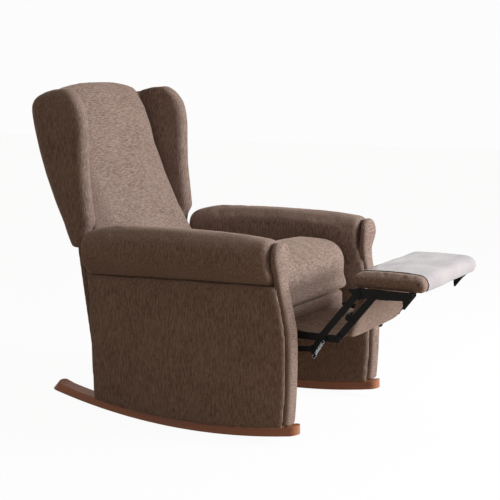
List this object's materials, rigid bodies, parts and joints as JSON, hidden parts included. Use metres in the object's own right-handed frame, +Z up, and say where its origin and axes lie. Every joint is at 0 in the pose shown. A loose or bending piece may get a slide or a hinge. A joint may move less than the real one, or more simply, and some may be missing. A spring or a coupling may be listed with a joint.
{
  "type": "nursing rocking chair",
  "caption": "A padded wing-back nursing chair on bent wooden rockers, with a back that leans and a footrest that folds out on steel links.",
  "frame": {"origin": "on the floor, in the middle of the whole chair with its footrest out", "axes": "+X towards the sitter's left, -Y forwards, +Z up"},
  "size_m": [0.8134, 1.4689, 1.1584],
  "materials": {
    "chenille": "heavy flat-woven chenille with a vertical slub, piece-dyed taupe brown",
    "beech": "steam-bent beech, stained reddish brown, satin lacquer",
    "frame_wood": "bare planed pine and board inside the upholstery",
    "black_steel": "stamped strip steel, black semi-gloss powder coat",
    "zinc": "bright zinc-plated steel",
    "webbing": "woven elastic upholstery webbing",
    "vinyl": "soft clear-to-milky protective sheet",
    "rubber_black": "moulded rubber"
  },
  "bodies": {
    "base": {"rocker_right": "beech", "rocker_left": "beech", "rocker_screws": "zinc", "cross_rails": "frame_wood", "arm_rails": "frame_wood", "arm_posts": "frame_wood", "arm_rear_covers": "chenille", "arm_outer_panel_right": "chenille", "arm_outer_panel_left": "chenille", "arm_inner_panel_right": "chenille", "arm_inner_panel_left": "chenille", "arm_roll_right": "chenille", "arm_roll_left": "chenille", "arm_facing_right": "chenille", "arm_facing_left": "chenille", "mechanism_rails": "frame_wood", "mechanism_plate_right": "black_steel", "mechanism_plate_left": "black_steel", "mechanism_fixings": "zinc", "seat_bearers": "frame_wood", "seat_frame": "frame_wood", "seat_webbing": "webbing", "seat_cushion": "chenille", "seat_front_border": "chenille", "calf_apron": "chenille"},
    "back": {"back_frame": "frame_wood", "back_webbing": "webbing", "back_cushion": "chenille", "wing_right": "chenille", "wing_left": "chenille", "outside_back": "chenille", "lower_back": "chenille", "lower_side_right": "chenille", "lower_side_left": "chenille", "back_bracket_right": "black_steel", "back_bracket_left": "black_steel", "back_screws": "zinc"},
    "fold_arms": {"fold_arm_right": "black_steel", "fold_arm_left": "black_steel", "torque_tube": "black_steel", "fold_arm_rivets": "black_steel"},
    "front_bars": {"front_bar_right": "black_steel", "front_bar_left": "black_steel", "calf_brackets": "black_steel", "calf_board": "frame_wood", "calf_pad": "chenille"},
    "rear_bars": {"rear_bar_right": "black_steel", "rear_bar_left": "black_steel", "rear_bar_rivets": "black_steel"},
    "control_links": {"control_links": "black_steel"},
    "hold_springs": {"hold_spring_right": "zinc", "hold_spring_left": "zinc"},
    "footrest": {"footrest_bracket_right": "black_steel", "footrest_bracket_left": "black_steel", "footrest_rivets": "black_steel", "footrest_board": "frame_wood", "footrest_pad": "chenille", "footrest_cover": "vinyl", "footrest_screws": "zinc", "footrest_bumpers": "rubber_black"}
  },
  "joints": [
    {"name": "back_recline", "type": "hinge", "parent": "base", "child": "back", "pos_m": [0, 0.37493, 0.395], "axis": [1, 0, 0], "range_deg": [-22, 0]},
    {"name": "footrest_fold", "type": "hinge", "parent": "base", "child": "fold_arms", "pos_m": [0, -0.20507, 0.342], "axis": [1, 0, 0], "range_deg": [0, 90], "deforming": ["calf_apron"]},
    {"name": "front_bar_swing", "type": "hinge", "parent": "fold_arms", "child": "front_bars", "pos_m": [0, -0.44207, 0.342], "axis": [1, 0, 0], "range_deg": [-121.05, 0]},
    {"name": "rear_bar_swing", "type": "hinge", "parent": "fold_arms", "child": "rear_bars", "pos_m": [0, -0.38707, 0.342], "axis": [1, 0, 0], "range_deg": [-121.05, 0]},
    {"name": "footrest_level", "type": "hinge", "parent": "front_bars", "child": "footrest", "pos_m": [0, -0.56636, 0.49225], "axis": [1, 0, 0], "range_deg": [0, 121.05]},
    {"name": "control_swing", "type": "hinge", "parent": "base", "child": "control_links", "pos_m": [0, -0.19468, 0.2923], "axis": [1, 0, 0], "range_deg": [0, 89.19]},
    {"name": "spring_swing", "type": "hinge", "parent": "rear_bars", "child": "hold_springs", "pos_m": [0, -0.40507, 0.335], "axis": [1, 0, 0], "range_deg": [0, 36.95]}
  ],
  "couplings": [
    {"joint": "front_bar_swing", "follows": "footrest_fold", "ratio": -1.3444},
    {"joint": "rear_bar_swing", "follows": "footrest_fold", "ratio": -1.3444},
    {"joint": "footrest_level", "follows": "footrest_fold", "ratio": 1.3444},
    {"joint": "control_swing", "follows": "footrest_fold", "ratio": 0.99044},
    {"joint": "spring_swing", "follows": "footrest_fold", "ratio": 0.41}
  ]
}
